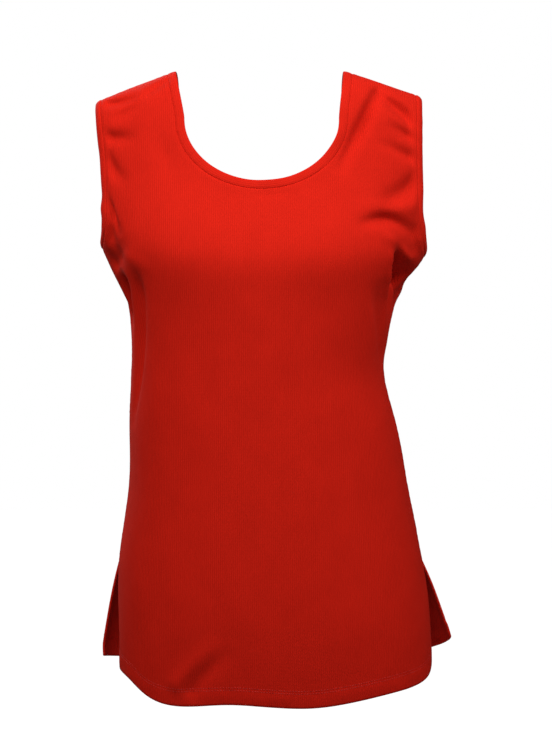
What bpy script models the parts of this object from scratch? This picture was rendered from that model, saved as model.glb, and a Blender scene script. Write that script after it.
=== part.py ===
"""Women's sleeveless scoop-neck top in fine rib jersey, filled out as if worn and hollow.

Metres, +Z up, the front faces -Y and +X is the viewer's right. The origin lies midway between
the two high shoulder points. Five sewn pieces: front, back, neck band and two armhole bands.
"""

import math

import bmesh
import bpy
import numpy as np
from mathutils import Vector

# Driving sizes
WALL = 0.0012  # thickness of the single jersey
HEM_WALL = 0.0024  # thickness where the hem is turned up
HEM_TURN = 0.020  # depth of the turned-up hem
SEAM_GAP = 0.0003  # clearance between pieces that are sewn together
BAND_WIDTH = 0.0090  # visible width of the neck and armhole bands
BAND_WALL = 0.0022  # thickness of a band, folded double
BAND_PROUD = 0.0005  # how far a band stands out from the panels
ARMHOLE_ROLL = math.radians(20)  # how far an armhole band rolls over towards the wearer
ARMHOLE_CURL = math.radians(26)  # how much further it does at the shoulder's tip
CURL_DROP = 0.030  # drop below the tip in which that ends

SHOULDER_RISE = 0.050  # height of the round-over from the chest to the shoulder seam
SHOULDER_RUN = 0.055  # cloth length for each radian of that round-over
SHOULDER_FLAT = 0.25  # above 0, the top of the shoulder is flatter than an ellipse
SHOULDER_START = 0.087  # half-width at which the shoulder begins to slope
SHOULDER_SLOPE = {"left": 0.385, "right": 0.335}
SHOULDER_EASE = 0.006  # softness of the bend from neck to shoulder slope
SLOPE_ENDS = 0.17  # drop at which the body's rows are level again

VENT_TOP = 0.512  # drop at which each side seam ends in a vent
UNDERARM = 0.197  # drop of the armhole seam at the side
TIP_RAISED = {"left": 0.012, "right": 0.003}  # how far each side's armhole ends above that
TIP_REACH = 0.055  # drop above and below in which the levels bend to it
ARMHOLE_ROUND = 2.4  # power of the armhole's rounding at its foot; 2 is an ellipse
ARMHOLE_RISE = 0.080  # height in which the armhole curves from the side to its front edge

# Shape of the body, one row for each level below the shoulder
SECTION_COLUMNS = ("drop", "left", "right", "front", "back", "fullness")
SECTIONS = (
    (0.000, 0.187, 0.184, 0.056, 0.056, 0.10),
    (0.050, 0.183, 0.184, 0.0695, 0.078, 0.10),
    (0.090, 0.179, 0.184, 0.0820, 0.092, 0.10),
    (0.125, 0.178, 0.184, 0.0930, 0.098, 0.10),
    (0.155, 0.1745, 0.182, 0.1045, 0.100, 0.10),
    (0.175, 0.168, 0.179, 0.1130, 0.099, 0.10),
    (0.192, 0.161, 0.172, 0.1185, 0.0965, 0.10),
    (0.225, 0.147, 0.151, 0.1200, 0.090, 0.10),
    (0.260, 0.138, 0.140, 0.1190, 0.084, 0.10),
    (0.305, 0.135, 0.130, 0.1178, 0.080, 0.10),
    (0.360, 0.137, 0.141, 0.1165, 0.086, 0.10),
    (0.430, 0.138, 0.155, 0.1155, 0.100, 0.10),
    (0.500, 0.148, 0.169, 0.1145, 0.111, 0.10),
    (0.560, 0.152, 0.179, 0.1120, 0.119, 0.11),
    (0.650, 0.153, 0.184, 0.1010, 0.128, 0.12),
)

# Bust fullness of the front, on a general figure: two soft swells over the section above
SWELL = {"aside": 0.082, "drop": 0.178, "reach": 0.060, "push": 0.0075}

# The hem's lower edge, by angle from the centre of each panel, negative to the left
HEM_COLUMNS = ("angle", "drop")
HEM = {
    "front": (
        (-90, 0.617),
        (-72, 0.6217),
        (-58, 0.626),
        (-44, 0.640),
        (-28, 0.6455),
        (-10, 0.6418),
        (0, 0.6432),
        (14, 0.646),
        (28, 0.6416),
        (42, 0.6362),
        (62, 0.6318),
        (76, 0.6255),
        (90, 0.613),
    ),
    "back": ((-90, 0.616), (-70, 0.627), (0, 0.636), (66, 0.626), (80, 0.611), (90, 0.594)),
}

# Below the vent's top each panel's free edge turns away from the seam and leans out or in
VENT = {
    "front": {"turn": 5.0, "left": -0.005, "right": -0.001, "reach": 0.030},
    "back": {"turn": 1.0, "left": 0.0150, "right": 0.0225, "reach": 0.045},
}

# Angle of the armhole seam round the body (0 at the centre, 90 at the side)
ARMHOLE_EDGE = {"front": 58.2, "back": 60.0}
ARMHOLE_AT_SHOULDER = 58.8

# Neck seam: an ellipse below, opening towards the shoulder point above it
NECK = {
    "front": {"half_width": 0.0865, "centre": 0.054, "depth": 0.0720, "aside": 0.0024},
    "back": {"half_width": 0.0960, "centre": 0.056, "depth": 0.0660, "aside": 0.0},
}
NECK_AT_SHOULDER = 0.0955
NECK_FLARE = 1.15  # above 1, the seam opens towards the shoulder point in a curve
NECK_CORNER = math.radians(52)  # where the neck's round bottom passes to its steep side

# Largest folds: each runs from one place to another, pushed out (+) or in (-) at its two ends.
# around is in degrees from the centre front, negative to the left, 180 at the centre back.
FOLD_COLUMNS = ("around", "drop", "to_around", "to_drop", "reach", "push", "to_push")
FOLDS = (
    (-88, 0.232, -82, 0.290, 0.013, -0.009, -0.002),
    (-69, 0.224, -74, 0.256, 0.011, -0.011, -0.008),
    (84, 0.226, 88, 0.262, 0.016, -0.009, -0.003),
    (55, 0.202, 70, 0.214, 0.010, -0.012, -0.013),
    (60, 0.222, 72, 0.292, 0.014, -0.009, -0.001),
    (41, 0.159, 58, 0.168, 0.010, -0.003, -0.004),
)
FOLD_POINTS = 7  # places on the form that each fold is led through
NEWTON_STEPS = 12  # rounds in which an angle is found from x
PROBE = 1e-4  # radians and metres each way from a place, to find the normal there
TINY = 1e-9  # keeps a direction from having no length

# Grid of each panel: rows by level from the hem up, columns from the left side to the right
LEVELS = (0.568, 0.540, 0.512, 0.480, 0.450, 0.420, 0.385, 0.350, 0.320, 0.290, 0.262, 0.238, 0.216)
UNDERARM_ROWS = (0.0, 0.015, 0.06, 0.14, 0.26, 0.42)  # shares of ARMHOLE_RISE
YOKE_BELOW_NECK = 0.012
CORNER_ROWS = 3
STRAP_ROWS = 8
CENTRE_COLUMNS = 8
SIDE_COLUMNS = 10
SIDE_CROWDING = 1.35  # above 1, the columns crowd towards the side seam
INNER_COLUMN = math.radians(21)
HEM_STEP = 0.0006  # height in which the hem's thickness ends
HEM_CURVE_STARTS = 0.450
HEM_LEVEL = 0.600  # the level that is bent to the hem's own curve

# Section of a band: share of its width from the seam, share of its thickness from its outer face
BAND_COLUMNS = ("across", "deep")
BAND_SECTION = ((0.0, 0.0), (0.84, 0.0), (1.0, 0.3), (1.0, 0.7), (0.84, 1.0), (0.0, 1.0))

JERSEY_RED = (0.55, 0.0085, 0.0040, 1.0)
JERSEY_ROUGHNESS = 0.9
CREASE_ANGLE = math.radians(50)


def column(name):
    return np.array([row[SECTION_COLUMNS.index(name)] for row in SECTIONS], float)


def smooth(xs, ys, at):
    """The natural cubic curve through the rows of a table."""
    step, rise = np.diff(xs), np.diff(ys)
    size = len(xs)
    left = np.eye(size)
    right = np.zeros(size)
    for k in range(1, size - 1):
        left[k, k - 1 : k + 2] = step[k - 1], 2 * (step[k - 1] + step[k]), step[k]
        right[k] = 6 * (rise[k] / step[k] - rise[k - 1] / step[k - 1])
    bend = np.linalg.solve(left, right)
    at = np.clip(at, xs[0], xs[-1])
    k = np.clip(np.searchsorted(xs, at, side="right") - 1, 0, size - 2)
    after = (at - xs[k]) / step[k]
    before = 1 - after
    curve = (before**3 - before) * bend[k] + (after**3 - after) * bend[k + 1]
    return before * ys[k] + after * ys[k + 1] + curve * step[k] ** 2 / 6


def section(name, drop):
    """One measure of the body's section at a drop below the shoulder."""
    return smooth(column("drop"), column(name), drop)


def ease(share):
    share = np.clip(share, 0, 1)
    return share * share * (3 - 2 * share)


def unit(vectors):
    return vectors / np.linalg.norm(vectors, axis=-1, keepdims=True)


def drop_of(run):
    """The drop below the shoulder seam after a run of cloth from that seam."""
    turn = run / SHOULDER_RUN
    over = np.minimum(turn, math.pi / 2)
    return SHOULDER_RISE * (1 - np.cos(over) + turn - over)


def run_of(drop):
    """The run of cloth from the shoulder seam to a drop below it."""
    share = np.asarray(drop, float) / SHOULDER_RISE
    return SHOULDER_RUN * (np.arccos(np.clip(1 - share, 0, 1)) + np.maximum(share - 1, 0))


def by_side(angle, measure):
    """A measure that differs on the two sides of the body."""
    return np.where(angle < 0, measure("left"), measure("right"))


def shoulder_fall(x):
    """How far the shoulder seam has sloped down at x."""
    past = (np.abs(x) - SHOULDER_START) / SHOULDER_EASE
    return by_side(x, SHOULDER_SLOPE.get) * SHOULDER_EASE * np.logaddexp(0, past)


def vent_push(face, angle, drop):
    """How far a panel's free edge beside a vent leans out of the body's form."""
    vent = VENT[face]
    share = np.clip((drop - VENT_TOP) / (HEM_LEVEL - VENT_TOP), 0, 1)
    inside = np.maximum(math.pi / 2 - np.abs(angle), 0) * section(face, drop)
    return by_side(angle, vent.get) * share * np.exp(-((inside / vent["reach"]) ** 2))


def swell_push(face, x, drop, towards_centre):
    """How far the bust stands out of the body's sections, fading out towards the side seam."""
    aside, below = np.abs(x) - SWELL["aside"], drop - SWELL["drop"]
    push = SWELL["push"] * np.exp(-(aside**2 + below**2) / SWELL["reach"] ** 2)
    return (face == "front") * push * towards_centre**2


def body(face, angle, run):
    """The body's form without its folds, and the level direction out of it."""
    angle, run = np.broadcast_arrays(np.asarray(angle, float), np.asarray(run, float))
    drop = drop_of(run)
    s, c = np.sin(angle), np.cos(angle)
    width = by_side(angle, lambda side: section(side, drop))
    over = np.minimum(run / SHOULDER_RUN, math.pi / 2)
    depth = section(face, drop) * np.sin(over) * (1 + SHOULDER_FLAT * np.cos(over) ** 2)
    fullness = section("fullness", drop)
    facing = -1 if face == "front" else 1
    x = width * s * (1 + fullness * c * c)
    y = facing * depth * c * (1 + fullness * s * s)
    z = -drop - shoulder_fall(x) * (1 - ease(drop / SLOPE_ENDS))
    out = unit(np.stack([s * depth, facing * c * width, np.full(s.shape, TINY)], axis=-1))
    push = vent_push(face, angle, drop) + swell_push(face, x, drop, c)
    return np.stack([x, y, z], axis=-1) + out * push[..., None], out


def fold_line(fold):
    """The places on the body that a fold is led through."""
    around = np.linspace(fold["around"], fold["to_around"], FOLD_POINTS)
    drops = np.linspace(fold["drop"], fold["to_drop"], FOLD_POINTS)
    behind = np.abs(around) > 90
    angles = np.radians(np.where(behind, np.sign(around) * 180 - around, around))
    faces = [body(face, angles, run_of(drops))[0] for face in ("front", "back")]
    return np.where(behind[:, None], faces[1], faces[0])


def fold_push(points):
    """How far the folds push the cloth out of the body's form."""
    push = np.zeros(points.shape[:-1])
    for values in FOLDS:
        fold = dict(zip(FOLD_COLUMNS, values))
        line = fold_line(fold)
        nearest = np.full(push.shape, np.inf)
        along = np.zeros(push.shape)
        for k, (start, end) in enumerate(zip(line, line[1:])):
            way = end - start
            share = np.clip((points - start) @ way / (way @ way), 0, 1)
            away = np.linalg.norm(points - start - share[..., None] * way, axis=-1)
            along = np.where(away < nearest, (k + share) / (FOLD_POINTS - 1), along)
            nearest = np.minimum(away, nearest)
        height = fold["push"] + (fold["to_push"] - fold["push"]) * ease(along)
        push += height * np.exp(-((nearest / fold["reach"]) ** 2))
    return push


def form(face, angle, run):
    """The outside of the cloth of one face, at an angle from its centre and a run as in drop_of."""
    points, out = body(face, angle, run)
    return points + out * fold_push(points)[..., None]


def outward(face, angle, run):
    """The form's normal, away from the wearer."""
    turn = form(face, angle + PROBE, run) - form(face, angle - PROBE, run)
    fall = form(face, angle, run + PROBE) - form(face, angle, np.maximum(run - PROBE, 0))
    return unit(np.cross(fall, turn) if face == "front" else np.cross(turn, fall))


def angle_at(x, drop):
    """The angle from the centre at which the form reaches x."""
    width = by_side(x, lambda side: section(side, drop))
    fullness = section("fullness", drop)
    s = x / width
    for _ in range(NEWTON_STEPS):
        excess = s * (1 + fullness * (1 - s * s)) - x / width
        s = s - excess / (1 + fullness - 3 * fullness * s * s)
    return np.arcsin(np.clip(s, -1, 1))


def neck_ends(face, drop):
    """The two x at which the steep part of the neck seam lies at a drop."""
    neck = NECK[face]
    low = max(drop - neck["centre"], 0) / neck["depth"]
    high = max(neck["centre"] - drop, 0) / neck["centre"]
    spread = (NECK_AT_SHOULDER - neck["half_width"]) * high**NECK_FLARE
    half = neck["half_width"] * math.sqrt(max(1 - low**2, 0)) + spread
    aside = neck["aside"] * (1 - high)
    return np.array([aside - half, aside + half])


def neck_bottom(face, turn):
    """(x, drop) on the round bottom of the neck seam, at a turn from its lowest point."""
    neck = NECK[face]
    x = neck["aside"] + neck["half_width"] * np.sin(turn)
    return x, neck["centre"] + neck["depth"] * np.cos(turn)


def side_angle(face, drop):
    """The angle of a panel's side: at the armhole, at the side seam, then along the vent."""
    seam = math.pi / 2 - SEAM_GAP / 2 / section(face, drop)
    on_top = ease(1 - drop / SHOULDER_RISE)
    edge = ARMHOLE_EDGE[face] + (ARMHOLE_AT_SHOULDER - ARMHOLE_EDGE[face]) * on_top
    rise = np.clip((UNDERARM - drop) / ARMHOLE_RISE, 0, 1)
    armhole = (seam - math.radians(edge)) * (1 - (1 - rise) ** ARMHOLE_ROUND) ** (1 / ARMHOLE_ROUND)
    opened = np.clip((drop - VENT_TOP) / (HEM_LEVEL - VENT_TOP), 0, 1)
    return seam - armhole - math.radians(VENT[face]["turn"]) * opened


def level_drop(face, level, angle):
    """The drop of a row: level in the body, and bent to the hem's curve further down."""
    angles, drops = np.array(HEM[face], float).T
    hem = smooth(np.radians(angles), drops, angle)
    bent = (hem - HEM_LEVEL) * ease((level - HEM_CURVE_STARTS) / (HEM_LEVEL - HEM_CURVE_STARTS))
    near_tip = ease(1 - np.abs(level - UNDERARM) / TIP_REACH) * np.sin(angle) ** 2
    return level + bent - by_side(angle, TIP_RAISED.get) * near_tip


class Panel:
    """Angles from the face's centre and runs below the shoulder seam, by row and column."""

    def __init__(self, face):
        self.face = face
        self.columns = CENTRE_COLUMNS + 2 * SIDE_COLUMNS
        self.neck_left = SIDE_COLUMNS
        self.neck_right = SIDE_COLUMNS + CENTRE_COLUMNS
        yoke = float(neck_bottom(face, 0.0)[1]) + YOKE_BELOW_NECK
        hem = (HEM_LEVEL, HEM_LEVEL - HEM_TURN, HEM_LEVEL - HEM_TURN - HEM_STEP)
        underarm = [UNDERARM - ARMHOLE_RISE * share for share in UNDERARM_ROWS]
        rows = [self.body_row(level) for level in (*hem, *LEVELS, *underarm, yoke)]
        self.hem_rows = 2
        self.vent_rows = len(hem) + LEVELS.index(VENT_TOP)
        self.underarm_row = len(hem) + len(LEVELS)
        rows += [self.corner_row(yoke, k / CORNER_ROWS) for k in range(1, CORNER_ROWS + 1)]
        self.corner = len(rows) - 1
        top = float(run_of(neck_bottom(face, NECK_CORNER)[1]))
        rows += [self.strap_row(top * (1 - k / STRAP_ROWS)) for k in range(1, STRAP_ROWS)]
        rows.append(self.strap_row(SEAM_GAP / 2))
        self.angles = np.array([row[0] for row in rows])
        self.runs = np.array([row[1] for row in rows])

    def spread(self, left, centre, right):
        """One row's angles: the two sides' columns about the centre's."""
        share = 1 - (1 - np.linspace(0, 1, SIDE_COLUMNS + 1)) ** SIDE_CROWDING
        left_side = left + (centre[0] - left) * (1 - share[::-1])
        right_side = centre[-1] + (right - centre[-1]) * share
        return np.concatenate([left_side[:-1], centre, right_side[1:]])

    def body_row(self, level):
        side = float(side_angle(self.face, level))
        centre = np.linspace(-INNER_COLUMN, INNER_COLUMN, CENTRE_COLUMNS + 1)
        angles = self.spread(-side, centre, side)
        return angles, run_of(level_drop(self.face, level, angles))

    def corner_row(self, yoke, share):
        """A row beside the neck's round bottom, whose centre columns end on the seam."""
        across = np.linspace(-1, 1, CENTRE_COLUMNS + 1)
        x, seam = neck_bottom(self.face, across * NECK_CORNER)
        drops = yoke + (seam - yoke) * share
        centre = across * INNER_COLUMN
        centre = centre + (angle_at(x, seam) - centre) * share
        side = float(side_angle(self.face, drops[0]))
        angles = self.spread(-side, centre, side)
        ends = np.full(SIDE_COLUMNS, drops[0])
        return angles, run_of(np.concatenate([ends, drops, ends]))

    def strap_row(self, run):
        """A row of the two straps; its centre columns lie in the neck opening and aren't used."""
        drop = float(drop_of(run))
        ends = angle_at(neck_ends(self.face, drop), drop)
        centre = np.linspace(ends[0], ends[1], CENTRE_COLUMNS + 1)
        side = float(side_angle(self.face, drop))
        return self.spread(-side, centre, side), np.full(self.columns + 1, run)

    def in_neck(self, row, column):
        """True for a cell that lies in the neck opening."""
        return row >= self.corner and self.neck_left <= column < self.neck_right

    def neck_edge(self):
        """(row, column) along the neck seam, from the left shoulder to the right."""
        last = len(self.angles) - 1
        down = [(row, self.neck_left) for row in range(last, self.corner, -1)]
        bottom = [(self.corner, k) for k in range(self.neck_left, self.neck_right + 1)]
        return down + bottom + [(row, self.neck_right) for row, _ in reversed(down)]

    def armhole_edge(self, column):
        """(row, column) along an armhole seam, from the shoulder down to the side seam."""
        last = len(self.angles) - 1
        return [(row, column) for row in range(last, self.underarm_row - 1, -1)]


def jersey(name):
    made = bpy.data.materials.new(name)
    made.use_nodes = True
    made.diffuse_color = JERSEY_RED
    shader = made.node_tree.nodes["Principled BSDF"]
    shader.inputs["Base Color"].default_value = JERSEY_RED
    shader.inputs["Roughness"].default_value = JERSEY_ROUGHNESS
    shader.inputs["Metallic"].default_value = 0.0
    return made


def finish_object(name, shape):
    """Makes the object of a bmesh, smooth except at its edges, with its own material."""
    bmesh.ops.recalc_face_normals(shape, faces=shape.faces)
    mesh = bpy.data.meshes.new(name)
    shape.to_mesh(mesh)
    shape.free()
    mesh.shade_smooth()
    mesh.set_sharp_from_angle(angle=CREASE_ANGLE)
    mesh.materials.append(jersey(name + "_jersey"))
    made = bpy.data.objects.new(name, mesh)
    bpy.context.scene.collection.objects.link(made)
    return made


def build_panel(name, panel):
    """A panel's outer sheet, extruded inward by the cloth's thickness."""
    points = form(panel.face, panel.angles, panel.runs)
    walls = np.full(panel.angles.shape, WALL)
    walls[: panel.hem_rows] = HEM_WALL
    walls[: panel.vent_rows, [0, -1]] = HEM_WALL
    inward = -outward(panel.face, panel.angles, panel.runs) * walls[..., None]
    shape = bmesh.new()
    tag = shape.verts.layers.int.new("cell")
    corners = {}
    rows, columns = panel.angles.shape

    def vertex(row, column):
        if (row, column) not in corners:
            corners[row, column] = shape.verts.new(points[row, column])
            corners[row, column][tag] = row * columns + column
        return corners[row, column]

    for row in range(rows - 1):
        for column in range(columns - 1):
            if not panel.in_neck(row, column):
                cell = [(row, column), (row, column + 1), (row + 1, column + 1), (row + 1, column)]
                shape.faces.new([vertex(*at) for at in cell])
    moved = bmesh.ops.extrude_face_region(shape, geom=list(shape.faces))["geom"]
    for part in moved:
        if isinstance(part, bmesh.types.BMVert):
            row, column = divmod(part[tag], columns)
            part.co += Vector(inward[row, column])
    return finish_object(name, shape)


def edge_of(panel, edge):
    """Points and outward normals along an edge of a panel."""
    rows, columns = np.array(edge).T
    angles, runs = panel.angles[rows, columns], panel.runs[rows, columns]
    return form(panel.face, angles, runs), outward(panel.face, angles, runs)


def joined(first, second):
    """Two edges that meet at both ends as one ring, each meeting place halfway between them."""
    start = (first[:1] + second[-1:]) / 2
    middle = (first[-1:] + second[:1]) / 2
    return np.concatenate([start, first[1:-1], middle, second[1:-1]])


def build_band(name, first, second, roll=0.0, curl=0.0):
    """A band on a closed seam, from two edges in an order that has the opening on their left."""
    points, normals = (joined(a, b) for a, b in zip(first, second))
    normals = unit(normals)
    along = unit(np.roll(points, -1, axis=0) - np.roll(points, 1, axis=0))
    into_opening = unit(np.cross(normals, along))
    below_tip = (points[:, 2].max() - points[:, 2:]) / CURL_DROP
    roll = roll + curl * np.exp(-(below_tip**2))
    shape = bmesh.new()
    rings = []
    for at, normal, into, turn in zip(points, normals, into_opening, roll[:, 0]):
        ring = []
        for values in BAND_SECTION:
            place = dict(zip(BAND_COLUMNS, values))
            over = turn * place["across"]
            way = into * math.cos(over / 2) - normal * math.sin(over / 2)
            facing = normal * math.cos(over) + into * math.sin(over)
            across = into * SEAM_GAP + way * place["across"] * BAND_WIDTH
            out = BAND_PROUD - place["deep"] * BAND_WALL
            ring.append(shape.verts.new(at + across + facing * out))
        rings.append(ring)
    for ring, following in zip(rings, rings[1:] + rings[:1]):
        for k in range(len(ring)):
            after = (k + 1) % len(ring)
            shape.faces.new([ring[k], ring[after], following[after], following[k]])
    return finish_object(name, shape)


def build():
    for old in list(bpy.data.objects):
        bpy.data.objects.remove(old, do_unlink=True)
    front, back = Panel("front"), Panel("back")
    build_panel("front_panel", front)
    build_panel("back_panel", back)
    build_band(
        "neck_band",
        edge_of(front, front.neck_edge()),
        edge_of(back, back.neck_edge()[::-1]),
    )
    build_band(
        "armhole_band_right",
        edge_of(front, front.armhole_edge(front.columns)),
        edge_of(back, back.armhole_edge(back.columns)[::-1]),
        ARMHOLE_ROLL,
        ARMHOLE_CURL,
    )
    build_band(
        "armhole_band_left",
        edge_of(back, back.armhole_edge(0)),
        edge_of(front, front.armhole_edge(0)[::-1]),
        ARMHOLE_ROLL,
        ARMHOLE_CURL,
    )


build()
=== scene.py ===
"""Women's sleeveless scoop-neck top in fine rib jersey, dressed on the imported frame.

Metres, +Z up, the front faces -Y and +X is the viewer's right. The cloth is built again at a fine
step on the same form as the solids, with its creases, seams, turned hem, bands and stitches.
"""

import math

import bpy
import numpy as np
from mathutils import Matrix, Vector
from mathutils.bvhtree import BVHTree


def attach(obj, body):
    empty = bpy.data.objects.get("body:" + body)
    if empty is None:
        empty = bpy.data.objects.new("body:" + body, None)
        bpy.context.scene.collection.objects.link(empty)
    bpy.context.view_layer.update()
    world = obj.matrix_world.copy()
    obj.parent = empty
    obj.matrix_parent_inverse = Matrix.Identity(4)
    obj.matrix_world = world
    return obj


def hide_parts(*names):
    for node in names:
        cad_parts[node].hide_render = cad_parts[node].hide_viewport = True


# ---- sizes shared with the solids ----
WALL = 0.0012  # thickness of the single jersey
HEM_WALL = 0.0024  # thickness where the hem and the vents' edges are turned in
HEM_TURN = 0.020  # depth of the turned-up hem
SEAM_GAP = 0.0003  # clearance between pieces that are sewn together
BAND_WIDTH = 0.0090  # visible width of the neck and armhole bands
ARMHOLE_ROLL = math.radians(20)  # how far an armhole band rolls over towards the wearer
ARMHOLE_CURL = math.radians(26)  # how much further it does at the shoulder's tip
CURL_DROP = 0.030  # drop below the tip in which that ends

SHOULDER_RISE = 0.050  # height of the round-over from the chest to the shoulder seam
SHOULDER_RUN = 0.055  # cloth length for each radian of that round-over
SHOULDER_FLAT = 0.25  # above 0, the top of the shoulder is flatter than an ellipse
SHOULDER_START = 0.087  # half-width at which the shoulder begins to slope
SHOULDER_SLOPE = {"left": 0.385, "right": 0.335}
SHOULDER_EASE = 0.006  # softness of the bend from neck to shoulder slope
SLOPE_ENDS = 0.17  # drop at which the body's rows are level again

VENT_TOP = 0.512  # drop at which each side seam ends in a vent
UNDERARM = 0.197  # drop of the armhole seam at the side
TIP_RAISED = {"left": 0.012, "right": 0.003}  # how far each side's armhole ends above that
TIP_REACH = 0.055  # drop above and below in which the levels bend to it
ARMHOLE_ROUND = 2.4  # power of the armhole's rounding at its foot; 2 is an ellipse
ARMHOLE_RISE = 0.080  # height in which the armhole curves from the side to its front edge

# Shape of the body, one row for each level below the shoulder
SECTION_COLUMNS = ("drop", "left", "right", "front", "back", "fullness")
SECTIONS = (
    (0.000, 0.187, 0.184, 0.056, 0.056, 0.10),
    (0.050, 0.183, 0.184, 0.0695, 0.078, 0.10),
    (0.090, 0.179, 0.184, 0.0820, 0.092, 0.10),
    (0.125, 0.178, 0.184, 0.0930, 0.098, 0.10),
    (0.155, 0.1745, 0.182, 0.1045, 0.100, 0.10),
    (0.175, 0.168, 0.179, 0.1130, 0.099, 0.10),
    (0.192, 0.161, 0.172, 0.1185, 0.0965, 0.10),
    (0.225, 0.147, 0.151, 0.1200, 0.090, 0.10),
    (0.260, 0.138, 0.140, 0.1190, 0.084, 0.10),
    (0.305, 0.135, 0.130, 0.1178, 0.080, 0.10),
    (0.360, 0.137, 0.141, 0.1165, 0.086, 0.10),
    (0.430, 0.138, 0.155, 0.1155, 0.100, 0.10),
    (0.500, 0.148, 0.169, 0.1145, 0.111, 0.10),
    (0.560, 0.152, 0.179, 0.1120, 0.119, 0.11),
    (0.650, 0.153, 0.184, 0.1010, 0.128, 0.12),
)

# Bust fullness of the front, on a general figure: two soft swells over the section above
SWELL = {"aside": 0.082, "drop": 0.178, "reach": 0.060, "push": 0.0075}

# The hem's lower edge: (angle from the centre of each panel, drop)
HEM = {
    "front": (
        (-90, 0.617),
        (-72, 0.6217),
        (-58, 0.626),
        (-44, 0.640),
        (-28, 0.6455),
        (-10, 0.6418),
        (0, 0.6432),
        (14, 0.646),
        (28, 0.6416),
        (42, 0.6362),
        (62, 0.6318),
        (76, 0.6255),
        (90, 0.613),
    ),
    "back": ((-90, 0.616), (-70, 0.627), (0, 0.636), (66, 0.626), (80, 0.611), (90, 0.594)),
}
HEM_CURVE_STARTS = 0.450  # drop below which the rows begin to follow the hem
HEM_LEVEL = 0.600  # level of the last row, before it is bent to the hem

# Below the vent's top each panel's free edge turns away from the seam and leans out or in
VENT = {
    "front": {"turn": 5.0, "left": -0.005, "right": -0.001, "reach": 0.030},
    "back": {"turn": 1.0, "left": 0.0150, "right": 0.0225, "reach": 0.045},
}

# Angle of the armhole seam round the body (0 at the centre, 90 at the side)
ARMHOLE_EDGE = {"front": 58.2, "back": 60.0}
ARMHOLE_AT_SHOULDER = 58.8

# Neck seam: an ellipse below, opening towards the shoulder point above it
NECK = {
    "front": {"half_width": 0.0865, "centre": 0.054, "depth": 0.0720, "aside": 0.0024},
    "back": {"half_width": 0.0960, "centre": 0.056, "depth": 0.0660, "aside": 0.0},
}
NECK_AT_SHOULDER = 0.0955
NECK_FLARE = 1.15  # above 1, the seam opens towards the shoulder point in a curve
NECK_CORNER = math.radians(52)  # where the neck's round bottom passes to its steep side
YOKE_BELOW_NECK = 0.012  # where the grid's rows begin to bend round the neck's bottom
INNER_COLUMN = math.radians(21)  # half the angle of the columns that end at the neck

NEWTON_STEPS = 12
TINY = 1e-12  # keeps a division by a length or its square from failing
UPWARD = 1e-9  # gives the way out of the form a direction where the shoulder closes it

# The largest folds, as in the solids: (face, reach, places), each place (angle, drop, push)
FOLDS = (
    ("front", 0.013, ((-88, 0.232, -0.009), (-82, 0.290, -0.002))),
    ("front", 0.011, ((-69, 0.224, -0.011), (-74, 0.256, -0.008))),
    ("front", 0.016, ((84, 0.226, -0.009), (88, 0.262, -0.003))),
    ("front", 0.010, ((55, 0.202, -0.012), (70, 0.214, -0.013))),
    ("front", 0.014, ((60, 0.222, -0.009), (72, 0.292, -0.001))),
    ("front", 0.010, ((41, 0.159, -0.003), (58, 0.168, -0.004))),
)

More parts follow.
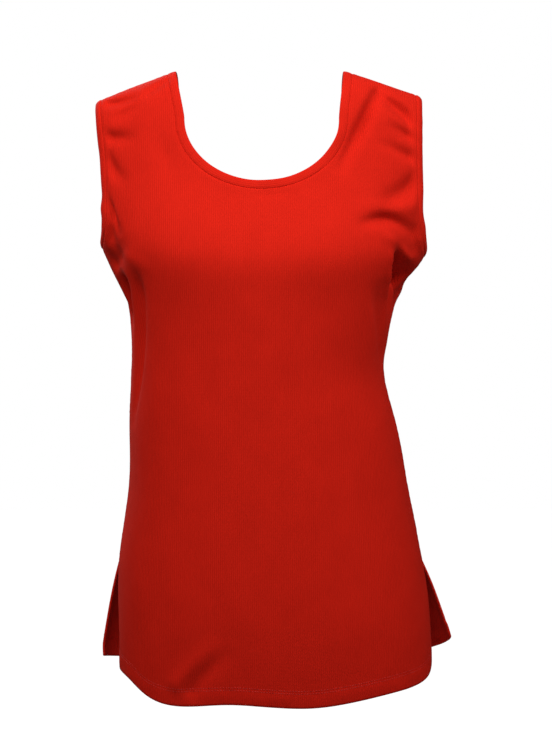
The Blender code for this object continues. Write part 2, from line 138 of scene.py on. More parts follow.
# Creases placed one by one: angle in degrees from the face's centre, drop in metres, push in mm
CREASES = (
    # left shoulder and armhole
    ("front", 0.0055, ((-57, 0.008, -3.0), (-48, 0.014, -5.5), (-38, 0.016, 0))),
    ("front", 0.0060, ((-38, 0.020, 0), (-32, 0.014, -3.6), (-26, 0.010, 0))),
    ("front", 0.0060, ((-52, 0.031, 0), (-45, 0.030, -3.2), (-36, 0.025, 0))),
    ("front", 0.0065, ((-58, 0.049, -4.6), (-49, 0.057, -4.0), (-40, 0.063, 0))),
    ("front", 0.0070, ((-57, 0.082, -4.8), (-52, 0.099, -4.0), (-45, 0.116, 0))),
    ("front", 0.0048, ((-62, 0.098, 0), (-61, 0.118, -7.0), (-57, 0.141, -8.0), (-52, 0.174, 0))),
    ("front", 0.0100, ((-63, 0.120, 0), (-61, 0.146, -4.6), (-61, 0.170, -6.0), (-63, 0.188, 0))),
    ("front", 0.0110, ((-51, 0.179, 0), (-59, 0.190, -6.0), (-70, 0.198, -7.0))),
    ("front", 0.0100, ((-33, 0.060, 0), (-29, 0.092, -2.0), (-26, 0.120, 0))),
    # left side under the arm
    ("front", 0.0075, ((-60, 0.178, 0), (-54, 0.190, 1.4), (-47, 0.198, 1.2), (-38, 0.210, 0))),
    (
        "front",
        0.0095,
        ((-62, 0.212, 0), (-69, 0.224, -14), (-74, 0.242, -14), (-79, 0.276, -3), (-80, 0.300, 0)),
    ),
    (
        "front",
        0.0085,
        ((-50, 0.206, 0), (-53, 0.226, -8), (-58, 0.256, -9), (-64, 0.304, -8), (-70, 0.37, 0)),
    ),
    # right shoulder
    ("front", 0.0066, ((40, 0.006, -3.5), (36, 0.029, -8.5), (31, 0.062, -8.5), (23, 0.112, 0))),
    ("front", 0.0080, ((36, 0.014, -1.0), (43, 0.021, -8.0), (50, 0.028, -9.0), (58, 0.038, -6.0))),
    ("front", 0.0055, ((42, 0.046, 0), (51, 0.052, -5.0), (58, 0.057, -5.0))),
    ("front", 0.0062, ((37, 0.070, 0), (49, 0.077, -4.0), (58, 0.083, -4.0))),
    ("front", 0.0095, ((37, 0.144, 0), (46, 0.130, -5.2), (58, 0.110, -7.0))),
    # right side under the arm
    ("front", 0.0085, ((28, 0.147, 0), (40, 0.142, 2.4), (58, 0.140, 2.4))),
    (
        "front",
        0.0062,
        ((29, 0.163, 0), (37, 0.156, -5), (44, 0.156, -5.2), (52, 0.162, -3), (60, 0.170, 0)),
    ),
    ("front", 0.0140, ((46, 0.172, 0), (54, 0.180, -4.5), (62, 0.184, -5.0))),
    ("front", 0.0055, ((37, 0.168, 0), (43, 0.174, 1.6), (51, 0.184, 2.2), (64, 0.197, 2.2))),
    ("front", 0.0072, ((48, 0.179, 0), (52, 0.190, -8), (58, 0.203, -10), (68, 0.214, -6))),
    ("front", 0.0080, ((66, 0.206, -4), (73, 0.226, -8), (77, 0.246, -7), (80, 0.280, 0))),
    (
        "front",
        0.0050,
        ((45, 0.186, 0), (50, 0.202, 3.6), (57, 0.224, 6.0), (63, 0.243, 5.0), (71, 0.276, 0)),
    ),
    ("front", 0.0075, ((46, 0.216, 0), (51, 0.236, -4.0), (59, 0.262, -4.4), (75, 0.310, 0))),
    ("front", 0.0045, ((80, 0.236, -2.0), (78, 0.260, -4.0), (84, 0.286, 0))),
    # fine vertical puckers under the bust
    ("front", 0.0030, ((24, 0.176, 0), (26, 0.196, -0.35), (31, 0.226, 0))),
    ("front", 0.0030, ((27, 0.176, 0), (29, 0.196, -0.35), (34, 0.226, 0))),
    ("front", 0.0030, ((30, 0.176, 0), (32, 0.196, -0.35), (38, 0.226, 0))),
    # under the neck band and near the hem
    ("front", 0.0050, ((-2, 0.131, 0), (3, 0.131, -0.9), (9, 0.129, 0))),
    ("front", 0.0090, ((-15, 0.574, 0), (-22, 0.598, 2.2), (-30, 0.622, 2.6))),
    ("front", 0.0090, ((-9, 0.584, 0), (-17, 0.604, -2.2), (-24, 0.628, -2.6))),
    # the back, of the same kinds
    ("back", 0.0080, ((-56, 0.024, -1.2), (-42, 0.026, -2.4), (-28, 0.040, 0))),
    ("back", 0.0055, ((-57, 0.070, -2.0), (-47, 0.090, -1.6), (-38, 0.114, 0))),
    ("back", 0.0060, ((57, 0.058, -2.0), (46, 0.076, -2.0), (36, 0.104, 0))),
    ("back", 0.0050, ((37, 0.014, -1.0), (33, 0.050, -2.8), (30, 0.086, 0))),
    ("back", 0.0080, ((-82, 0.200, -4.0), (-66, 0.184, -4.5), (-48, 0.160, 0))),
    ("back", 0.0090, ((-80, 0.216, 2.0), (-62, 0.202, 3.0), (-44, 0.186, 0))),
    ("back", 0.0090, ((82, 0.210, -5.0), (64, 0.196, -5.5), (46, 0.168, 0))),
    ("back", 0.0090, ((80, 0.230, 2.5), (62, 0.216, 3.4), (42, 0.196, 0))),
    ("back", 0.0080, ((-76, 0.262, -3.0), (-58, 0.276, -3.4), (-36, 0.270, 0))),
    ("back", 0.0080, ((-70, 0.292, 0), (-52, 0.300, -2.6), (-28, 0.292, 0))),
    ("back", 0.0085, ((78, 0.254, -4.0), (60, 0.272, -4.0), (38, 0.268, 0))),
    ("back", 0.0080, ((72, 0.290, 0), (50, 0.304, -3.0), (24, 0.296, 0))),
    ("back", 0.0100, ((-14, 0.240, 0), (-10, 0.268, -2.0), (-12, 0.300, 0))),
    ("back", 0.0180, ((-76, 0.525, 0), (-76, 0.560, -6), (-76, 0.600, -11), (-76, 0.640, -12))),
    ("back", 0.0180, ((76, 0.525, 0), (76, 0.560, -7), (76, 0.600, -12), (75, 0.640, -13))),
    ("back", 0.0120, ((24, 0.520, 0), (30, 0.575, -2.5), (34, 0.632, -3.0))),
    ("back", 0.0120, ((-32, 0.530, 0), (-36, 0.580, -2.2), (-40, 0.630, -3.0))),
)
MM = 0.001
CREASE_POINTS = 6  # places on the form between two of a crease's own
CREASE_BLEND = 0.6  # how far along itself a crease's push is evened, in its reaches
CREASE_ENDS = 3  # distance at which a crease no longer counts, in its reaches
CREASE_FADE = {"least": 0.10, "reach": 0.011}  # how the creases die out towards the armholes

# ---- fine grid ----
ROW_STEP = 0.0026
UNDERARM_ROWS = 38
CORNER_ROWS = 12
STRAP_ROWS = 54
CENTRE_COLUMNS = 52
SIDE_COLUMNS = 64
EDGE_CROWDING = 0.08
ROW_OPENING = (4, 2)  # powers of the curve by which the close rows at a side open out
WIDTH_ROWS = 265  # rows and columns of the table of the cloth's width
WIDTH_COLUMNS = 361
EDGE_REACH = 0.012  # distance within which a point's distance from an edge is measured
RIPPLE_WAVES = 9
RIPPLE_SPREAD = (0.7, 1.4)  # how much finer or coarser than its size a ripple's waves are

# ---- seams, turnings and stitches ----
SEAM_GROOVE = {"depth": 0.00028, "reach": 0.0009}
SEAM_PUFF = {"height": 0.00025, "at": 0.0034, "reach": 0.0018}
SEAM_PUCKER = {"share": 0.8, "size": 0.007, "seed": 11}
UNEVEN = {"height": 0.00035, "size": 0.05, "seed": 3}  # of the hanging cloth
HEM_PUFF = {"height": 0.0004, "at": 0.010, "reach": 0.008, "size": 0.03, "seed": 5}
VENT_TURN = 0.009
VENT_FADE = 0.004  # drop in which a vent begins
TURN_STEP = 0.0012  # run in which the wall goes from single to double
RIM_ROUND = 0.6  # how far a cut edge stands out, in half walls
STITCH_DIP = {"depth": 0.00032, "reach": 0.0012}
HEM_ROWS = (0.0172, 0.0202)  # twin rows of stitches above the hem's edge
NECK_ROW = {"at": 0.0030, "share": 0.6}  # a row beside the bands, and its dip as a share
VENT_ROW_STARTS = 0.003  # drop below the vent's top
STITCH = {"long": 0.0021, "every": 0.0029, "wide": 0.00055, "flat": 0.7, "proud": 0.15}
STITCH_SIDES = 6
STITCH_PROFILE = ((-0.5, 0.05), (-0.36, 0.75), (0.0, 1.0), (0.36, 0.75), (0.5, 0.05))
PROBE = 0.0005  # step by which a line's direction is found

# ---- bands ----
BAND_SECTION = (  # across from the seam and out of the panel's face, in mm; a tongue laps the panel
    (-1.0, -0.45),
    (-0.1, -0.34),
    (0.25, 0.06),
    (1.0, 0.34),
    (2.2, 0.50),
    (4.0, 0.58),
    (6.0, 0.54),
    (7.6, 0.34),
    (8.6, 0.0),
    (9.0, -0.55),
    (8.7, -1.15),
    (7.8, -1.55),
    (5.5, -1.68),
    (2.5, -1.68),
    (0.3, -1.60),
    (-1.0, -0.85),
)
BAND_PUCKER = {"size": 0.008, "lift": 0.00016, "spread": 0.0002, "at": 1.2, "reach": 1.6}
BAND_EDGE = {"across": 1, "out": -1}  # the section puckers before the one and above the other
BAND_SETTLED = {"normals": 3, "along": 2}  # times that a band's directions are evened
BANDS = (  # piece, edge, the panel it starts on and the one it ends on, seed, roll, curl
    ("neck_band", "neck", ("front_panel", "back_panel"), 21, 0.0, 0.0),
    (
        "armhole_band_right",
        "armhole_right",
        ("front_panel", "back_panel"),
        22,
        ARMHOLE_ROLL,
        ARMHOLE_CURL,
    ),
    (
        "armhole_band_left",
        "armhole_left",
        ("back_panel", "front_panel"),
        23,
        ARMHOLE_ROLL,
        ARMHOLE_CURL,
    ),
)

# ---- cloth ----
RED = (0.55, 0.0085, 0.0040, 1.0)
JERSEY = {
    "Roughness": 0.85,
    "Specular IOR Level": 0.10,
    "Specular Tint": (1.0, 0.62, 0.34, 1.0),
    "Sheen Weight": 0.03,
    "Sheen Roughness": 0.45,
    "Sheen Tint": (1.0, 0.20, 0.14, 1.0),
}
RIB_PITCH = 0.0021
RIB_WOBBLE = {"scale": 60.0, "detail": 2.0, "share": 0.35}  # how the ribs wander, in pitches
BAND_RIB = 0.6  # how deep the ribs of a band are, and their painted shade, against the panels'
LOOP_PITCH = 0.0016
NAP = {"scale": 1500.0, "detail": 3.0}
PATCHES = {"scale": 38.0, "detail": 3.0}
RELIEF = {"rib": 0.6, "loop": 0.22, "nap": 0.9}
BUMP = {"Strength": 0.55, "Distance": 0.00028}
# how far each pattern moves the red: the ribs and loops are painted shade in their valleys and
# painted light on their crests, following the relief; the nap and patches are random changes of
# tone
TONE_AND_RIB_SHADE = {"rib": 0.075, "loop": 0.03, "nap": 0.30, "patch": 0.16}
TONE_AND_RIB_SHADE_ENDS = ((0.2, (0.70, 0.70, 0.70)), (0.8, (1.26, 1.8, 1.6)))  # place, shares of the red, for the darker and the lighter end of the painted rib shade and the random tone
THREAD = {"scale": 2500.0, "detail": 2.0, "rough": 0.6}
THREAD_ENDS = ((0.0, (0.6, 0.6, 0.6)), (1.0, (1.15, 1.15, 1.15)))

# ---- floor, light and camera ----
FLOOR = {"size": 12, "drop": 1.38, "grey": 0.25, "rough": 0.9}
GLOW = {"from": (1.1, 2.2), "strength": (0.78, 1.0)}  # the floor grows white away from the object
WHITE = (1, 1, 1, 1)
SKY = {"light": 0.05, "seen": 1.0}
LIGHTS = (  # name, place, towards, size, power
    ("key_left", (-0.58, -0.86, 0.80), (0, -0.05, -0.2), (1.2, 0.7), 20.5),
    ("key_right", (0.92, -0.86, 0.80), (0, -0.05, -0.2), (1.2, 0.7), 20.5),
    ("low", (0, -0.95, -1.25), (0, 0, -0.6), (0.9, 0.3), 1.6),
    ("back", (-1.1, 1.7, 0.7), (0, 0, -0.3), (1.4, 1.0), 24),
)
CAMERA = {"at": (0.0168, -1.70, -0.20), "down": 3.634, "lens": 79.517, "sensor": 36, "clip": 0.01}


# ---- the form, as in the solids ----
def column(name):
    """One column of the body's sections."""
    return np.array([row[SECTION_COLUMNS.index(name)] for row in SECTIONS], float)


def smooth(xs, ys, at):
    """The natural cubic curve through the rows of a table."""
    step, rise = np.diff(xs), np.diff(ys)
    size = len(xs)
    left, right = np.eye(size), np.zeros(size)
    for k in range(1, size - 1):
        left[k, k - 1 : k + 2] = step[k - 1], 2 * (step[k - 1] + step[k]), step[k]
        right[k] = 6 * (rise[k] / step[k] - rise[k - 1] / step[k - 1])
    bend = np.linalg.solve(left, right)
    at = np.clip(at, xs[0], xs[-1])
    k = np.clip(np.searchsorted(xs, at, side="right") - 1, 0, size - 2)
    after = (at - xs[k]) / step[k]
    before = 1 - after
    curve = (before**3 - before) * bend[k] + (after**3 - after) * bend[k + 1]
    return before * ys[k] + after * ys[k + 1] + curve * step[k] ** 2 / 6


def section(name, drop):
    """A measure of the body's section at a drop below the shoulder."""
    return smooth(column("drop"), column(name), drop)


def ease(share):
    """A share that starts and ends gently, held between 0 and 1."""
    share = np.clip(share, 0, 1)
    return share * share * (3 - 2 * share)


def bell(away, reach):
    """1 at no distance, dying out softly with it."""
    return np.exp(-((away / reach) ** 2))


def unit(vectors):
    """The vectors at length 1."""
    return vectors / np.maximum(np.linalg.norm(vectors, axis=-1, keepdims=True), TINY)


def drop_of(run):
    """The drop below the shoulder of cloth at a run from the shoulder seam."""
    turn = run / SHOULDER_RUN
    over = np.minimum(turn, math.pi / 2)
    return SHOULDER_RISE * (1 - np.cos(over) + turn - over)


def run_of(drop):
    """The run from the shoulder seam of cloth at a drop below the shoulder."""
    share = np.asarray(drop, float) / SHOULDER_RISE
    return SHOULDER_RUN * (np.arccos(np.clip(1 - share, 0, 1)) + np.maximum(share - 1, 0))


def by_side(angle, measure):
    """The left side's or the right side's measure, by the sign of the angle."""
    return np.where(angle < 0, measure("left"), measure("right"))


def shoulder_fall(x):
    """How far the shoulder has sloped down at this place across."""
    past = (np.abs(x) - SHOULDER_START) / SHOULDER_EASE
    return by_side(x, SHOULDER_SLOPE.get) * SHOULDER_EASE * np.logaddexp(0, past)


def vent_open(drop):
    """How far the vents have opened, from 0 at their top to 1 at the last level."""
    return np.clip((drop - VENT_TOP) / (HEM_LEVEL - VENT_TOP), 0, 1)


def vent_push(face, angle, drop):
    """How far a vent's free edge leans out."""
    vent = VENT[face]
    inside = np.maximum(math.pi / 2 - np.abs(angle), 0) * section(face, drop)
    return by_side(angle, vent.get) * vent_open(drop) * bell(inside, vent["reach"])


def swell_push(face, x, drop, towards_centre):
    """How far the bust swells the front."""
    aside, below = np.abs(x) - SWELL["aside"], drop - SWELL["drop"]
    push = SWELL["push"] * np.exp(-(aside**2 + below**2) / SWELL["reach"] ** 2)
    return (face == "front") * push * towards_centre**2


def body(face, angle, run):
    """The body's form without its folds, and the level direction out of it."""
    angle, run = np.broadcast_arrays(np.asarray(angle, float), np.asarray(run, float))
    drop = drop_of(run)
    s, c = np.sin(angle), np.cos(angle)
    width = by_side(angle, lambda side: section(side, drop))
    over = np.minimum(run / SHOULDER_RUN, math.pi / 2)
    depth = section(face, drop) * np.sin(over) * (1 + SHOULDER_FLAT * np.cos(over) ** 2)
    fullness = section("fullness", drop)
    facing = -1 if face == "front" else 1
    x = width * s * (1 + fullness * c * c)
    y = facing * depth * c * (1 + fullness * s * s)
    z = -drop - shoulder_fall(x) * (1 - ease(drop / SLOPE_ENDS))
    out = unit(np.stack([s * depth, facing * c * width, np.full(s.shape, UPWARD)], axis=-1))
    push = vent_push(face, angle, drop) + swell_push(face, x, drop, c)
    return np.stack([x, y, z], axis=-1) + out * push[..., None], out


def angle_at(x, drop):
    """The angle at which the body's section reaches a place across."""
    width = by_side(x, lambda side: section(side, drop))
    fullness = section("fullness", drop)
    s = x / width
    for _ in range(NEWTON_STEPS):
        excess = s * (1 + fullness * (1 - s * s)) - x / width
        s = s - excess / (1 + fullness - 3 * fullness * s * s)
    return np.arcsin(np.clip(s, -1, 1))


def neck_ends(face, drop):
    """Where the neck seam crosses a level, left and right."""
    neck = NECK[face]
    low = max(drop - neck["centre"], 0) / neck["depth"]
    high = max(neck["centre"] - drop, 0) / neck["centre"]
    spread = (NECK_AT_SHOULDER - neck["half_width"]) * high**NECK_FLARE
    half = neck["half_width"] * math.sqrt(max(1 - low**2, 0)) + spread
    aside = neck["aside"] * (1 - high)
    return np.array([aside - half, aside + half])


def neck_bottom(face, turn):
    """The place across and the drop of the neck's round bottom, at a turn from its lowest point."""
    neck = NECK[face]
    x = neck["aside"] + neck["half_width"] * np.sin(turn)
    return x, neck["centre"] + neck["depth"] * np.cos(turn)


def side_angle(face, drop):
    """The angle of a panel's side edge: the side seam, the armhole or the vent."""
    seam = math.pi / 2 - SEAM_GAP / 2 / section(face, drop)
    on_top = ease(1 - drop / SHOULDER_RISE)
    edge = ARMHOLE_EDGE[face] + (ARMHOLE_AT_SHOULDER - ARMHOLE_EDGE[face]) * on_top
    rise = np.clip((UNDERARM - drop) / ARMHOLE_RISE, 0, 1)
    rounded = (1 - (1 - rise) ** ARMHOLE_ROUND) ** (1 / ARMHOLE_ROUND)
    armhole = (seam - math.radians(edge)) * rounded
    return seam - armhole - math.radians(VENT[face]["turn"]) * vent_open(drop)


def level_drop(face, level, angle):
    """The drop of a row at an angle: level, but bent to the hem below and to the armholes' ends."""
    angles, drops = np.array(HEM[face], float).T
    hem = smooth(np.radians(angles), drops, angle)
    near_hem = ease((level - HEM_CURVE_STARTS) / (HEM_LEVEL - HEM_CURVE_STARTS))
    near_tip = ease(1 - np.abs(level - UNDERARM) / TIP_REACH) * np.sin(angle) ** 2
    return level + (hem - HEM_LEVEL) * near_hem - by_side(angle, TIP_RAISED.get) * near_tip


# ---- folds and creases ----
def crease_line(face, places):
    """The places on the body that a crease is led through, and its push at each."""
    angles, drops, pushes = np.array(places, float).T
    own = np.arange(len(places))
    at = np.linspace(0, len(places) - 1, CREASE_POINTS * (len(places) - 1) + 1)
    if len(places) > 2:
        angle, drop, push = (smooth(own, row, at) for row in (angles, drops, pushes))
    else:
        angle, drop = np.interp(at, own, angles), np.interp(at, own, drops)
        push = pushes[0] + (pushes[1] - pushes[0]) * ease(at)
    return body(face, np.radians(angle), run_of(np.maximum(drop, 0)))[0], push


def from_segment(points, start, end):
    """Each point's distance from a straight piece of line, and its share of the way along it."""
    way = end - start
    share = np.clip((points - start) @ way / max(way @ way, TINY), 0, 1)
    return np.linalg.norm(points - start - share[:, None] * way, axis=1), share


def crease_push(points, creases, scale):
    """How far the creases push the cloth at these points out of the body's form."""
    flat = points.reshape(-1, 3)
    total = np.zeros(len(flat))
    for crease_face, reach, places in creases:
        line, pushes = crease_line(crease_face, places)
        low, high = line.min(0) - CREASE_ENDS * reach, line.max(0) + CREASE_ENDS * reach
        near = np.flatnonzero(((flat > low) & (flat < high)).all(1))
        if not len(near):
            continue
        aways, values = [], []
        for k in range(len(line) - 1):
            away, share = from_segment(flat[near], line[k], line[k + 1])
            aways.append(away)
            values.append(pushes[k] + (pushes[k + 1] - pushes[k]) * share)
        aways, values = np.array(aways), np.array(values)
        nearest = aways.min(0)
        weight = np.exp((nearest**2 - aways**2) / (CREASE_BLEND * reach) ** 2)
        push = (weight * values).sum(0) / weight.sum(0)
        total[near] += scale * push * bell(nearest, reach)
    return total.reshape(points.shape[:-1])


def ripple(points, size, seed):
    """A smooth uneven field from -1 to 1, about size apart from hill to hill."""
    draw = np.random.default_rng(seed)
    field = np.zeros(points.shape[:-1])
    for _ in range(RIPPLE_WAVES):
        way = unit(draw.normal(size=3)) * 2 * math.pi / size * draw.uniform(*RIPPLE_SPREAD)
        field += np.sin(points @ way + draw.uniform(0, 2 * math.pi))
    return field / (RIPPLE_WAVES / 2)


class Panel:
    """The fine grid of one face: angles and runs, the outer points, and the cloth's own sizes."""

    def __init__(self, face):
        self.face = face
        self.columns = CENTRE_COLUMNS + 2 * SIDE_COLUMNS
        self.neck_left = SIDE_COLUMNS
        self.neck_right = SIDE_COLUMNS + CENTRE_COLUMNS
        yoke = float(neck_bottom(face, 0.0)[1]) + YOKE_BELOW_NECK
        levels = np.linspace(HEM_LEVEL, UNDERARM, round((HEM_LEVEL - UNDERARM) / ROW_STEP) + 1)
        last = math.acos(1 - (UNDERARM - yoke) / ARMHOLE_RISE)
        turns = np.linspace(0, last, UNDERARM_ROWS + 1)[1:]
        arm = UNDERARM - ARMHOLE_RISE * (1 - np.cos(turns))
        even = np.linspace(UNDERARM, yoke, UNDERARM_ROWS + 1)[1:]
        rows = [self.body_row(level, level) for level in levels]
        rows += [self.body_row(level, inner) for level, inner in zip(arm, even)]
        self.underarm_row = len(levels) - 1
        rows += [self.corner_row(yoke, k / CORNER_ROWS) for k in range(1, CORNER_ROWS + 1)]
        self.corner = len(rows) - 1
        top = float(run_of(neck_bottom(face, NECK_CORNER)[1]))
        rows += [self.strap_row(top * (1 - k / STRAP_ROWS)) for k in range(1, STRAP_ROWS)]
        rows.append(self.strap_row(SEAM_GAP / 2))
        self.angles = np.array([row[0] for row in rows])
        self.runs = np.array([row[1] for row in rows])
        self.cells = self.valid_cells()
        self.shape()

    def spread(self, left, centre, right):
        """A row's angles: the centre's own, and on each side columns that crowd at both ends."""
        even = np.linspace(0, 1, SIDE_COLUMNS + 1)
        share = even - EDGE_CROWDING * np.sin(2 * math.pi * even)
        left_side = left + (centre[0] - left) * share
        right_side = centre[-1] + (right - centre[-1]) * share
        return np.concatenate([left_side[:-1], centre, right_side[1:]])

    def body_row(self, level, inner):
        """A row at one level at its ends and another in between, so that close rows open out."""
        side = float(side_angle(self.face, level))
        centre = np.linspace(-INNER_COLUMN, INNER_COLUMN, CENTRE_COLUMNS + 1)
        angles = self.spread(-side, centre, side)
        inward, onward = ROW_OPENING
        levels = level + (inner - level) * (1 - (angles / side) ** inward) ** onward
        return angles, run_of(level_drop(self.face, levels, angles))

    def corner_row(self, yoke, share):
        """A row between the yoke's level and the neck's round bottom, level at its ends."""
        across = np.linspace(-1, 1, CENTRE_COLUMNS + 1)
        x, seam = neck_bottom(self.face, across * NECK_CORNER)
        drops = yoke + (seam - yoke) * share
        centre = across * INNER_COLUMN
        centre = centre + (angle_at(x, seam) - centre) * share
        side = float(side_angle(self.face, drops[0]))
        angles = self.spread(-side, centre, side)
        ends = np.full(SIDE_COLUMNS, drops[0])
        return angles, run_of(np.concatenate([ends, drops, ends]))

    def strap_row(self, run):
        """A level row across both straps; its centre columns span the open neck."""
        drop = float(drop_of(run))
        ends = angle_at(neck_ends(self.face, drop), drop)
        centre = np.linspace(ends[0], ends[1], CENTRE_COLUMNS + 1)
        side = float(side_angle(self.face, drop))
        return self.spread(-side, centre, side), np.full(self.columns + 1, run)

    def valid_cells(self):
        """The corners of the grid's quads outside the open neck, counter-clockwise from outside."""
        rows, columns = self.angles.shape
        row, column = np.meshgrid(np.arange(rows - 1), np.arange(columns - 1), indexing="ij")
        open_neck = (row >= self.corner) & (column >= self.neck_left) & (column < self.neck_right)
        first = (row * columns + column)[~open_neck]
        cells = np.stack([first, first + 1, first + columns + 1, first + columns], axis=1)
        return cells if self.face == "front" else cells[:, ::-1]

    def normals(self, points):
        """The ways out of a surface on this grid."""
        flat = points.reshape(-1, 3)
        a, b, c, d = (flat[self.cells[:, k]] for k in range(4))
        facing = np.cross(c - a, d - b)
        total = np.zeros_like(flat)
        for k in range(4):
            np.add.at(total, self.cells[:, k], facing)
        return unit(total).reshape(points.shape)

    def edge(self, name):
        """(rows, columns) along an edge of the panel, from the top down or from the left across."""
        last = len(self.angles) - 1
        if name == "neck":
            down = [(row, self.neck_left) for row in range(last, self.corner, -1)]
            bottom = [(self.corner, k) for k in range(self.neck_left, self.neck_right + 1)]
            path = down + bottom + [(row, self.neck_right) for row, _ in reversed(down)]
        else:
            side = 0 if "left" in name else self.columns
            ends = (last, self.underarm_row) if "armhole" in name else (self.underarm_row, 0)
            path = [(row, side) for row in range(ends[0], ends[1] - 1, -1)]
        return tuple(np.array(path).T)

    def sewn_edge(self, name, turned=False):
        """The points and normals along one edge, from the other end where it is turned."""
        where = self.edge(name)
        points, normals = self.base[where], self.normals(self.base)[where]
        return (points[::-1], normals[::-1]) if turned else (points, normals)

    def away_from(self, names, surface, reach=EDGE_REACH):
        """The distance of every point of a surface on this grid from some of its edges."""
        flat = surface.reshape(-1, 3)
        best = np.full(len(flat), np.inf)
        for name in names:
            line = surface[self.edge(name)]
            for start, end in zip(line, line[1:]):
                near = np.flatnonzero((np.abs(flat - (start + end) / 2) < reach).all(1))
                best[near] = np.minimum(best[near], from_segment(flat[near], start, end)[0])
        return best.reshape(surface.shape[:-1])

    def across_cloth(self):
        """The cloth's width from its centre line to every point, measured level round the form."""
        drops = np.linspace(0, SECTIONS[-1][0], WIDTH_ROWS)
        angles = np.radians(np.linspace(-90, 90, WIDTH_COLUMNS))
        width = lengths_along(body(self.face, angles[None], run_of(drops)[:, None])[0])
        width -= width[:, [WIDTH_COLUMNS // 2]]
        row = np.clip(drop_of(self.runs) / drops[-1], 0, 1) * (WIDTH_ROWS - 1)
        column = (self.angles / math.pi + 0.5) * (WIDTH_COLUMNS - 1)
        k = np.minimum(row.astype(int), WIDTH_ROWS - 2)
        j = np.minimum(column.astype(int), WIDTH_COLUMNS - 2)
        down, right = row - k, column - j
        upper = width[k, j] * (1 - right) + width[k, j + 1] * right
        lower = width[k + 1, j] * (1 - right) + width[k + 1, j + 1] * right
        return upper * (1 - down) + lower * down

    def creased(self, plain, out):
        """The form with its folds and creases, which die out towards the armholes."""
        reach, least = CREASE_FADE["reach"], CREASE_FADE["least"]
        away = self.away_from(("armhole_left", "armhole_right"), plain, reach)
        fade = least + (1 - least) * ease(away / reach)
        push = crease_push(plain, FOLDS, 1.0) + crease_push(plain, CREASES, MM) * fade
        points = plain + out * push[..., None]
        rise = UNEVEN["height"] * ripple(plain, UNEVEN["size"], UNEVEN["seed"])
        return points + self.normals(points) * rise[..., None]

    def relief(self, plain, in_vent):
        """How far the seams, the stitch rows and the turned hem raise the outer face."""
        from_band = self.away_from(("neck", "armhole_left", "armhole_right"), self.base)
        from_seam = self.away_from(("side_left", "side_right"), self.base)
        pucker = 1 + SEAM_PUCKER["share"] * ripple(plain, SEAM_PUCKER["size"], SEAM_PUCKER["seed"])
        rise = np.zeros(plain.shape[:-1])
        for away in (from_band, from_seam + in_vent, self.runs):  # a vent has no seam, so it is far
            rise -= SEAM_GROOVE["depth"] * bell(away, SEAM_GROOVE["reach"])
            puff = bell(away - SEAM_PUFF["at"], SEAM_PUFF["reach"])
            rise += SEAM_PUFF["height"] * puff * pucker
        for height in HEM_ROWS:
            rise -= dip(self.above_hem - height)
        rise -= dip(self.from_side - VENT_TURN) * in_vent * (self.above_hem > HEM_ROWS[0])
        rise -= dip(from_band - NECK_ROW["at"]) * NECK_ROW["share"]
        turned = bell(self.above_hem - HEM_PUFF["at"], HEM_PUFF["reach"])
        uneven = 1 + ripple(plain, HEM_PUFF["size"], HEM_PUFF["seed"])
        return rise + HEM_PUFF["height"] * turned * uneven

    def wall(self, in_vent):
        """The cloth's thickness, double where the hem and the vents' edges are turned in."""
        hem = ease((HEM_TURN + TURN_STEP - self.above_hem) / TURN_STEP)
        vent = ease((VENT_TURN + TURN_STEP - self.from_side) / TURN_STEP) * in_vent
        return WALL + (HEM_WALL - WALL) * np.maximum(hem, vent)

    def shape(self):
        """The panel's outer and inner points, and the cloth's sizes at each."""
        plain, out = body(self.face, self.angles, self.runs)
        self.base = self.creased(plain, out)
        self.across = self.across_cloth()
        self.above_hem = self.runs[:1] - self.runs
        length = lengths_along(plain)
        self.from_side = np.minimum(length, length[:, -1:] - length)
        in_vent = ease((drop_of(self.runs) - VENT_TOP) / VENT_FADE)
        rise = self.relief(plain, in_vent)
        self.outer = self.base + self.normals(self.base) * rise[..., None]
        self.facing = self.normals(self.outer)
        self.inner = self.outer - self.facing * self.wall(in_vent)[..., None]


def lengths_along(rows):
    """How far along its row each point of a grid lies."""
    steps = np.linalg.norm(np.diff(rows, axis=1), axis=-1)
    return np.concatenate([np.zeros((len(rows), 1)), np.cumsum(steps, axis=1)], axis=1)


def dip(away):
    """The depth of the cloth's dip at a distance from a row of stitches."""
    return STITCH_DIP["depth"] * bell(away, STITCH_DIP["reach"])


# ---- meshes ----
def new_object(name, points, faces, material, uv=None):
    """A smooth mesh object in one material, with its cloth coordinates where it has them."""
    mesh = bpy.data.meshes.new(name)
    mesh.from_pydata(points.tolist(), [], [list(map(int, face)) for face in faces])
    mesh.validate()
    mesh.shade_smooth()
    if uv is not None:
        layer = mesh.uv_layers.new(name="cloth")
        corner = np.empty(len(mesh.loops), np.int32)
        mesh.loops.foreach_get("vertex_index", corner)
        layer.data.foreach_set("uv", uv[corner].astype(np.float32).ravel())
    mesh.materials.append(material)
    made = bpy.data.objects.new(name, mesh)
    bpy.context.scene.collection.objects.link(made)
    return made


